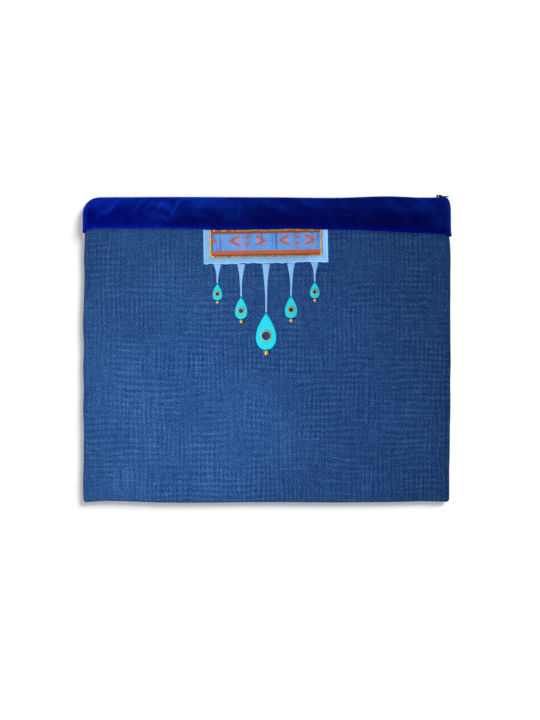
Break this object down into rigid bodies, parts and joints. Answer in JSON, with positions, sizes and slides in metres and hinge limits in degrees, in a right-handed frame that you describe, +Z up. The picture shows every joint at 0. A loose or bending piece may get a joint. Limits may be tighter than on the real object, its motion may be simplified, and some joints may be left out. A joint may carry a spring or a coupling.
{
  "type": "tallit bag",
  "caption": "Flat zipped cloth bag for a prayer shawl, with a velvet cuff round its mouth and a sewn front panel with hanging drops.",
  "frame": {"origin": "on the surface the bag lies on, under the middle of its whole extent", "axes": "+X along the zip towards its slider, +Y from the bottom seam to the mouth, +Z up out of the front panel; the bag lies on its back"},
  "size_m": [0.3612, 0.3014, 0.0193],
  "materials": {
    "cloth": "coarse plain-woven cloth, blue",
    "velvet": "cotton velvet, royal blue",
    "zip_tape": "woven polyester tape, navy",
    "zip_chain": "nylon coil, navy",
    "dark_metal": "die-cast, dark gunmetal plating",
    "satin": "satin-woven silk, light blue",
    "ribbon": "woven figured ribbon, light blue and rust",
    "turquoise": "satin, turquoise",
    "gold_thread": "twisted metallic cord, gold",
    "gold_bead": "polished, gold"
  },
  "bodies": {
    "bag": {"front_panel": "cloth", "back_panel": "cloth", "front_cuff": "velvet", "back_cuff": "velvet", "zip_tape_front": "zip_tape", "zip_tape_back": "zip_tape", "zip_chain": "zip_chain", "zip_bottom_stop": "dark_metal", "zip_slider": "dark_metal", "panel_border": "satin", "woven_ribbon": "ribbon", "gold_cord": "gold_thread", "gold_cord_top": "gold_thread", "hanger_far_left": "satin", "hanger_left": "satin", "hanger_middle": "satin", "hanger_right": "satin", "hanger_far_right": "satin", "drop_far_left": "turquoise", "drop_left": "turquoise", "drop_middle": "turquoise", "drop_right": "turquoise", "drop_far_right": "turquoise", "ring_far_left": "gold_thread", "ring_left": "gold_thread", "ring_middle": "gold_thread", "ring_right": "gold_thread", "ring_far_right": "gold_thread", "bead_far_left": "gold_bead", "bead_left": "gold_bead", "bead_middle": "gold_bead", "bead_right": "gold_bead", "bead_far_right": "gold_bead"},
    "pull": {"zip_pull": "dark_metal"}
  },
  "joints": [
    {"name": "pull_hinge", "type": "hinge", "parent": "bag", "child": "pull", "pos_m": [0.16828, 0.14901, 0.0048], "axis": [0, 0, 1], "range_deg": [0, 180]}
  ]
}
